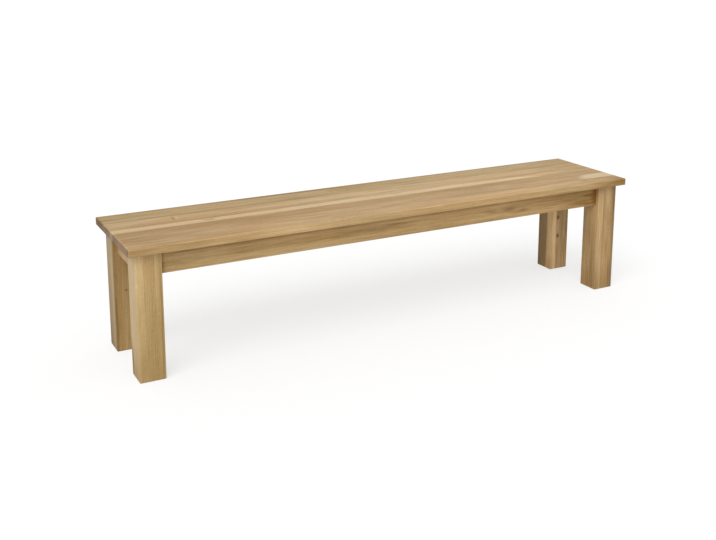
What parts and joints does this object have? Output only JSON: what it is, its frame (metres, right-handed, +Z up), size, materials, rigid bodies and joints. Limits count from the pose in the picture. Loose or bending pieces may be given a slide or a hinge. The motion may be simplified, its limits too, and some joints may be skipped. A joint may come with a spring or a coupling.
{
  "type": "bench",
  "caption": "Long backless oak bench: flat seat of edge-glued boards on square corner legs, with set-back rails tenoned into the legs.",
  "frame": {"origin": "on the floor under the middle of the seat: the centre of the bottom of the bounding box", "axes": "+X along the seat, to the right as seen from the front; +Y to the back; +Z up"},
  "size_m": [2, 0.42, 0.455],
  "materials": {
    "seat_oak": "oiled oak, satin, full-length boards with one pale sapwood edge",
    "leg_oak": "oiled oak, satin, upright grain in three glued boards",
    "rail_oak": "oiled oak, satin, grain along the rail",
    "button_oak": "bare planed oak",
    "screw_steel": "zinc-plated steel"
  },
  "bodies": {
    "root": {"back_button_1": "button_oak", "back_button_2": "button_oak", "back_button_3": "button_oak", "back_button_4": "button_oak", "back_rail": "rail_oak", "button_screws": "screw_steel", "centre_rail": "rail_oak", "centre_rail_screws": "screw_steel", "front_button_1": "button_oak", "front_button_2": "button_oak", "front_button_3": "button_oak", "front_button_4": "button_oak", "front_rail": "rail_oak", "left_button": "button_oak", "left_rail": "rail_oak", "leg_back_left_core_board": "leg_oak", "leg_back_left_inner_board": "leg_oak", "leg_back_left_outer_board": "leg_oak", "leg_back_right_core_board": "leg_oak", "leg_back_right_inner_board": "leg_oak", "leg_back_right_outer_board": "leg_oak", "leg_front_left_core_board": "leg_oak", "leg_front_left_inner_board": "leg_oak", "leg_front_left_outer_board": "leg_oak", "leg_front_right_core_board": "leg_oak", "leg_front_right_inner_board": "leg_oak", "leg_front_right_outer_board": "leg_oak", "right_button": "button_oak", "right_rail": "rail_oak", "seat_board_1_back": "seat_oak", "seat_board_2_pale_edge": "seat_oak", "seat_board_3_middle": "seat_oak", "seat_board_4": "seat_oak", "seat_board_5_front": "seat_oak"}
  },
  "joints": []
}
